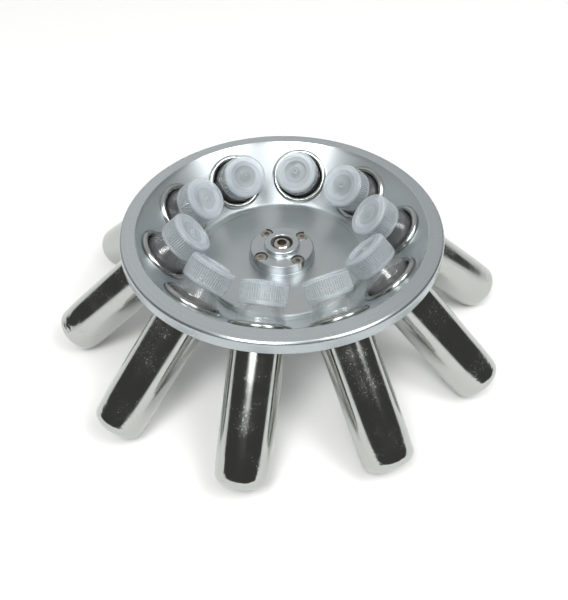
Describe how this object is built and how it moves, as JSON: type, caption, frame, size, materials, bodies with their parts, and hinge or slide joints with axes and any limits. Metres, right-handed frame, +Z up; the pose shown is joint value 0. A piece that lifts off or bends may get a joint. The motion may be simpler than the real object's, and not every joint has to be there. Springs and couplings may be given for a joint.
{
  "type": "fixed angle rotor",
  "caption": "Fixed angle benchtop rotor: turned bowl with plated sleeves in its conical wall, capped round-bottom tubes, and a clamped hub with a captive lock nut.",
  "frame": {"origin": "on the rotor's axis, on the plane that the sleeves' lower corners stand on", "axes": "+Z up the rotor's axis, towards the open side of the bowl; -Y through the first tube"},
  "size_m": [0.2834, 0.2958, 0.0963],
  "materials": {
    "anodised_bowl": "satin anodised",
    "anodised_plate": "satin anodised",
    "machined_clamp": "turned, clear anodised",
    "machined_hub": "turned",
    "plated_nut": "bright nickel plated",
    "steel_fasteners": "plain stainless",
    "plated_sleeve": "bright nickel plated, deep drawn",
    "rubber_cushion": "moulded, matt",
    "clear_tube": "clear polypropylene copolymer",
    "natural_cap": "natural polypropylene, moulded"
  },
  "bodies": {
    "rotor": {"rotor_bowl": "anodised_bowl", "floor_plate": "anodised_plate", "hub_clamp": "machined_clamp", "drive_hub": "machined_hub", "thrust_washer": "steel_fasteners", "clamp_screw_1": "steel_fasteners", "clamp_screw_2": "steel_fasteners", "clamp_screw_3": "steel_fasteners", "clamp_screw_4": "steel_fasteners", "sleeve_1": "plated_sleeve", "sleeve_2": "plated_sleeve", "sleeve_3": "plated_sleeve", "sleeve_4": "plated_sleeve", "sleeve_5": "plated_sleeve", "sleeve_6": "plated_sleeve", "sleeve_7": "plated_sleeve", "sleeve_8": "plated_sleeve", "sleeve_9": "plated_sleeve", "sleeve_10": "plated_sleeve", "cushion_1": "rubber_cushion", "cushion_2": "rubber_cushion", "cushion_3": "rubber_cushion", "cushion_4": "rubber_cushion", "cushion_5": "rubber_cushion", "cushion_6": "rubber_cushion", "cushion_7": "rubber_cushion", "cushion_8": "rubber_cushion", "cushion_9": "rubber_cushion", "cushion_10": "rubber_cushion", "tube_1": "clear_tube", "tube_2": "clear_tube", "tube_3": "clear_tube", "tube_4": "clear_tube", "tube_5": "clear_tube", "tube_6": "clear_tube", "tube_7": "clear_tube", "tube_8": "clear_tube", "tube_9": "clear_tube", "tube_10": "clear_tube"},
    "lock_nut": {"lock_nut": "plated_nut", "retaining_ring": "steel_fasteners"},
    "cap_1": {"cap_1": "natural_cap"},
    "cap_2": {"cap_2": "natural_cap"},
    "cap_3": {"cap_3": "natural_cap"},
    "cap_4": {"cap_4": "natural_cap"},
    "cap_5": {"cap_5": "natural_cap"},
    "cap_6": {"cap_6": "natural_cap"},
    "cap_7": {"cap_7": "natural_cap"},
    "cap_8": {"cap_8": "natural_cap"},
    "cap_9": {"cap_9": "natural_cap"},
    "cap_10": {"cap_10": "natural_cap"}
  },
  "joints": [
    {"name": "lock_nut_turn", "type": "hinge", "parent": "rotor", "child": "lock_nut", "pos_m": [0, 0, 0.0642], "axis": [0, 0, 1], "continuous": true},
    {"name": "cap_1_unscrew", "type": "hinge", "parent": "rotor", "child": "cap_1", "pos_m": [0, -0.05914, 0.08194], "axis": [0, 0.7431, 0.6691], "range_deg": [0, 540]},
    {"name": "cap_2_unscrew", "type": "hinge", "parent": "rotor", "child": "cap_2", "pos_m": [0.03476, -0.04784, 0.08194], "axis": [-0.4368, 0.6012, 0.6691], "range_deg": [0, 540]},
    {"name": "cap_3_unscrew", "type": "hinge", "parent": "rotor", "child": "cap_3", "pos_m": [0.05624, -0.01827, 0.08194], "axis": [-0.7068, 0.2296, 0.6691], "range_deg": [0, 540]},
    {"name": "cap_4_unscrew", "type": "hinge", "parent": "rotor", "child": "cap_4", "pos_m": [0.05624, 0.01827, 0.08194], "axis": [-0.7068, -0.2296, 0.6691], "range_deg": [0, 540]},
    {"name": "cap_5_unscrew", "type": "hinge", "parent": "rotor", "child": "cap_5", "pos_m": [0.03476, 0.04784, 0.08194], "axis": [-0.4368, -0.6012, 0.6691], "range_deg": [0, 540]},
    {"name": "cap_6_unscrew", "type": "hinge", "parent": "rotor", "child": "cap_6", "pos_m": [0, 0.05914, 0.08194], "axis": [0, -0.7431, 0.6691], "range_deg": [0, 540]},
    {"name": "cap_7_unscrew", "type": "hinge", "parent": "rotor", "child": "cap_7", "pos_m": [-0.03476, 0.04784, 0.08194], "axis": [0.4368, -0.6012, 0.6691], "range_deg": [0, 540]},
    {"name": "cap_8_unscrew", "type": "hinge", "parent": "rotor", "child": "cap_8", "pos_m": [-0.05624, 0.01827, 0.08194], "axis": [0.7068, -0.2296, 0.6691], "range_deg": [0, 540]},
    {"name": "cap_9_unscrew", "type": "hinge", "parent": "rotor", "child": "cap_9", "pos_m": [-0.05624, -0.01827, 0.08194], "axis": [0.7068, 0.2296, 0.6691], "range_deg": [0, 540]},
    {"name": "cap_10_unscrew", "type": "hinge", "parent": "rotor", "child": "cap_10", "pos_m": [-0.03476, -0.04784, 0.08194], "axis": [0.4368, 0.6012, 0.6691], "range_deg": [0, 540]}
  ]
}
